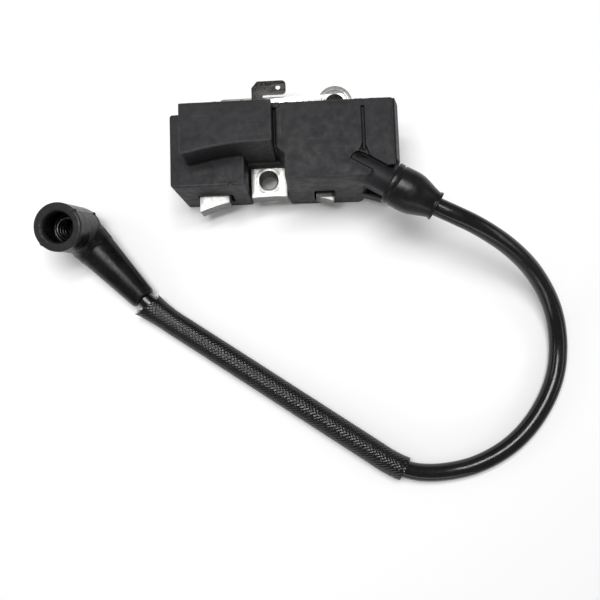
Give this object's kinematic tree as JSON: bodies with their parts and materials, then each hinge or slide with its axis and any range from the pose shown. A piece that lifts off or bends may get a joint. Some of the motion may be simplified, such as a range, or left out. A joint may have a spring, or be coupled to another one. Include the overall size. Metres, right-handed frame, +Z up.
{
  "type": "ignition coil",
  "caption": "Ignition coil for a small engine: laminated E-core in a moulded black case, kill-switch blade, and a high-tension lead with braided sleeve and elbow plug boot.",
  "frame": {"origin": "centre of the footprint of the case, core and terminal, at the height of the underside of the case (the free lead and what is on it are left out)", "axes": "+X runs along the case from the left block to the end the lead leaves, +Y points away from the flywheel towards the core yoke and the terminal, +Z is up from the potted underside to the top of the case"},
  "size_m": [0.1607, 0.1256, 0.035],
  "materials": {
    "case_plastic": "satin black moulded plastic with fine scuffs",
    "potting_epoxy": "black cast epoxy",
    "core_steel": "bright cut silicon steel",
    "rivet_steel": "plated steel",
    "terminal_steel": "dulled tin plate, mottled",
    "bobbin_nylon": "glass-filled nylon",
    "winding_copper": "enamelled copper wire",
    "board_laminate": "green board laminate",
    "capacitor_film": "dipped film capacitor",
    "moulded_epoxy": "black moulded epoxy",
    "resistor_body": "painted resistor body",
    "ferrite": "sintered ferrite",
    "contact_brass": "turned brass",
    "boot_rubber": "matte black moulded rubber",
    "lead_insulation": "glossy black ignition-cable rubber",
    "sleeve_braid": "varnished black glass-fibre braid",
    "spring_steel": "plated spring wire"
  },
  "bodies": {
    "coil": {"coil_case": "case_plastic", "potting_compound_left": "potting_epoxy", "potting_compound_right": "potting_epoxy", "core_lamination_01": "core_steel", "core_lamination_02": "core_steel", "core_lamination_03": "core_steel", "core_lamination_04": "core_steel", "core_lamination_05": "core_steel", "core_lamination_06": "core_steel", "core_lamination_07": "core_steel", "core_lamination_08": "core_steel", "core_rivet_1": "rivet_steel", "core_rivet_2": "rivet_steel", "core_rivet_3": "rivet_steel", "kill_switch_terminal": "terminal_steel", "charge_bobbin": "bobbin_nylon", "charge_winding": "winding_copper", "primary_bobbin": "bobbin_nylon", "primary_winding": "winding_copper", "secondary_bobbin": "bobbin_nylon", "secondary_winding_1": "winding_copper", "secondary_winding_2": "winding_copper", "secondary_winding_3": "winding_copper", "secondary_winding_4": "winding_copper", "secondary_winding_5": "winding_copper", "circuit_board": "board_laminate", "discharge_capacitor": "capacitor_film", "pulse_capacitor": "capacitor_film", "thyristor": "moulded_epoxy", "rectifier_diode_1": "moulded_epoxy", "rectifier_diode_2": "moulded_epoxy", "gate_resistor": "resistor_body", "trigger_core": "ferrite", "trigger_winding": "winding_copper", "tower_contact_spike": "contact_brass", "output_wire": "winding_copper", "ground_wire": "winding_copper", "strain_relief_boot": "boot_rubber", "ht_lead_insulation": "lead_insulation", "ht_lead_conductor": "winding_copper", "braided_sleeve": "sleeve_braid"},
    "boot": {"plug_boot": "boot_rubber", "plug_terminal_spring": "spring_steel"}
  },
  "joints": [
    {"name": "plug_boot_swivel", "type": "hinge", "parent": "coil", "child": "boot", "pos_m": [-0.06995, -0.02115, 0.0075], "axis": [0.6655, -0.7394, -0.1019], "range_deg": [-80, 80]}
  ]
}
